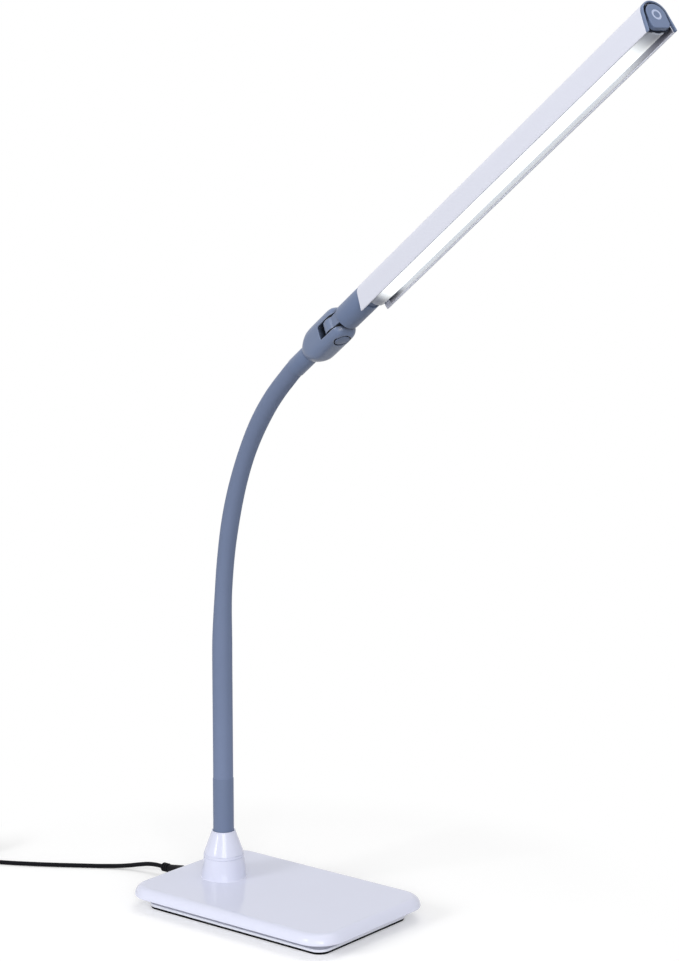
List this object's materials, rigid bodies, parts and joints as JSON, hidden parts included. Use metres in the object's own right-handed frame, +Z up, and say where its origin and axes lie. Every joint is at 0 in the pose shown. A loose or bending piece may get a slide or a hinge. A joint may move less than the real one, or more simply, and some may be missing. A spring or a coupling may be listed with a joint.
{
  "type": "desk lamp",
  "caption": "Desk lamp with a weighted rounded base, bendable gooseneck, swinging knuckle and a long LED light bar that swings, turns and has a push button on its end, with its adapter cord.",
  "frame": {"origin": "middle of the base's underside, on the table", "axes": "+Z up, +X to the front, the way the light bar reaches, +Y to the lamp's left"},
  "size_m": [0.8146, 0.1973, 0.6826],
  "materials": {
    "base_gloss": "polished lavender white",
    "tray_matte": "moulded, satin",
    "foot_rubber": "matte black foam rubber",
    "iron": "as cast",
    "steel": "turned, zinc plated",
    "nickel": "nickel plated",
    "sleeve_slate": "soft-touch blue grey",
    "slate_plastic": "moulded, satin blue grey",
    "nylon": "natural nylon",
    "hood_white": "satin white paint over aluminium",
    "silver_lining": "satin silver reflector",
    "opal_tube": "opal diffuser, lit",
    "bare_aluminium": "extruded",
    "board_white": "white solder resist",
    "led_phosphor": "yellow phosphor",
    "board_green": "green solder resist",
    "black_plastic": "moulded, fine grain",
    "cord_black": "smooth black jacket",
    "ring_pale": "pale blue inlay"
  },
  "bodies": {
    "base": {"base_cover": "base_gloss", "base_tray": "tray_matte", "base_screws": "steel", "foot_pad": "foot_rubber", "ballast": "iron", "dc_jack": "black_plastic", "neck_stud": "steel", "neck_nut": "steel", "neck_collar": "base_gloss", "neck_ferrule_lower": "slate_plastic", "dc_plug": "black_plastic", "plug_barrel": "nickel", "cord_run": "cord_black", "cord_coil": "cord_black", "cord_tail": "cord_black", "cord_tie": "black_plastic", "adapter_relief": "black_plastic", "adapter_case": "black_plastic", "adapter_blades": "nickel"},
    "neck_1": {"neck_sleeve_1": "sleeve_slate", "neck_core_1": "steel"},
    "neck_2": {"neck_sleeve_2": "sleeve_slate", "neck_core_2": "steel"},
    "neck_3": {"neck_sleeve_3": "sleeve_slate", "neck_core_3": "steel"},
    "neck_4": {"neck_sleeve_4": "sleeve_slate", "neck_core_4": "steel"},
    "neck_5": {"neck_sleeve_5": "sleeve_slate", "neck_core_5": "steel"},
    "neck_6": {"neck_sleeve_6": "sleeve_slate", "neck_core_6": "steel"},
    "neck_7": {"neck_sleeve_7": "sleeve_slate", "neck_core_7": "steel"},
    "neck_8": {"neck_sleeve_8": "sleeve_slate", "neck_core_8": "steel"},
    "neck_9": {"neck_sleeve_9": "sleeve_slate", "neck_core_9": "steel"},
    "neck_10": {"neck_sleeve_10": "sleeve_slate", "neck_core_10": "steel", "neck_ferrule_upper": "slate_plastic", "tilt_yoke": "slate_plastic", "pivot_bolt": "steel", "pivot_nut": "steel", "pivot_caps": "slate_plastic", "friction_washers": "nylon"},
    "knuckle": {"knuckle_tongue": "slate_plastic"},
    "head": {"head_stem": "slate_plastic", "swivel_screw": "steel", "hood": "hood_white", "reflector": "silver_lining", "light_tube": "opal_tube", "heat_sink": "bare_aluminium", "led_board": "board_white", "leds": "led_phosphor", "end_trim": "slate_plastic", "switch_board": "board_green", "tact_switch": "black_plastic"},
    "button": {"power_button": "slate_plastic", "button_ring": "ring_pale"}
  },
  "joints": [
    {"name": "neck_bend", "type": "hinge", "parent": "base", "child": "neck_1", "pos_m": [-0.054, 0, 0.0995], "axis": [0.2538, 0.9673, 0], "range_deg": [-12, 9]},
    {"name": "neck_sway", "type": "hinge", "parent": "neck_1", "child": "neck_2", "pos_m": [-0.054, 0, 0.1355], "axis": [0.9673, -0.2538, 0], "range_deg": [-9, 9]},
    {"name": "neck_bend_2", "type": "hinge", "parent": "neck_2", "child": "neck_3", "pos_m": [-0.054, 0, 0.1715], "axis": [0.2538, 0.9673, 0], "range_deg": [-12, 9]},
    {"name": "neck_sway_2", "type": "hinge", "parent": "neck_3", "child": "neck_4", "pos_m": [-0.054, 0, 0.2075], "axis": [0.967, -0.2537, -0.024], "range_deg": [-9, 9]},
    {"name": "neck_bend_3", "type": "hinge", "parent": "neck_4", "child": "neck_5", "pos_m": [-0.05233, -0.00044, 0.24346], "axis": [0.2538, 0.9673, 0], "range_deg": [-12, 9]},
    {"name": "neck_sway_3", "type": "hinge", "parent": "neck_5", "child": "neck_6", "pos_m": [-0.04761, -0.00168, 0.27913], "axis": [0.9494, -0.2491, -0.1914], "range_deg": [-9, 9]},
    {"name": "neck_bend_4", "type": "hinge", "parent": "neck_6", "child": "neck_7", "pos_m": [-0.03902, -0.00393, 0.31401], "axis": [0.2538, 0.9673, 0], "range_deg": [-12, 9]},
    {"name": "neck_sway_4", "type": "hinge", "parent": "neck_7", "child": "neck_8", "pos_m": [-0.02597, -0.00735, 0.34739], "axis": [0.8665, -0.2273, -0.4443], "range_deg": [-9, 9]},
    {"name": "neck_bend_5", "type": "hinge", "parent": "neck_8", "child": "neck_9", "pos_m": [-0.00816, -0.01202, 0.37833], "axis": [0.2538, 0.9673, 0], "range_deg": [-12, 9]},
    {"name": "neck_sway_5", "type": "hinge", "parent": "neck_9", "child": "neck_10", "pos_m": [0.01442, -0.01795, 0.40573], "axis": [0.6757, -0.1773, -0.7155], "range_deg": [-9, 9]},
    {"name": "head_swing", "type": "hinge", "parent": "neck_10", "child": "knuckle", "pos_m": [0.09129, -0.03812, 0.4629], "axis": [0.5086, -0.2415, -0.8264], "range_deg": [-80, 80]},
    {"name": "head_roll", "type": "hinge", "parent": "knuckle", "child": "head", "pos_m": [0.09129, -0.03812, 0.4629], "axis": [0.8038, -0.2109, 0.5563], "range_deg": [-90, 90]},
    {"name": "power_button", "type": "slide", "parent": "head", "child": "button", "axis": [-0.8038, 0.2109, -0.5563], "range_m": [0, 0.001], "stiffness_N_per_m": 800, "springref_m": -0.002}
  ],
  "couplings": [
    {"joint": "neck_bend_2", "follows": "neck_bend", "ratio": 1},
    {"joint": "neck_sway_2", "follows": "neck_sway", "ratio": 1},
    {"joint": "neck_bend_3", "follows": "neck_bend", "ratio": 1},
    {"joint": "neck_sway_3", "follows": "neck_sway", "ratio": 1},
    {"joint": "neck_bend_4", "follows": "neck_bend", "ratio": 1},
    {"joint": "neck_sway_4", "follows": "neck_sway", "ratio": 1},
    {"joint": "neck_bend_5", "follows": "neck_bend", "ratio": 1},
    {"joint": "neck_sway_5", "follows": "neck_sway", "ratio": 1}
  ]
}
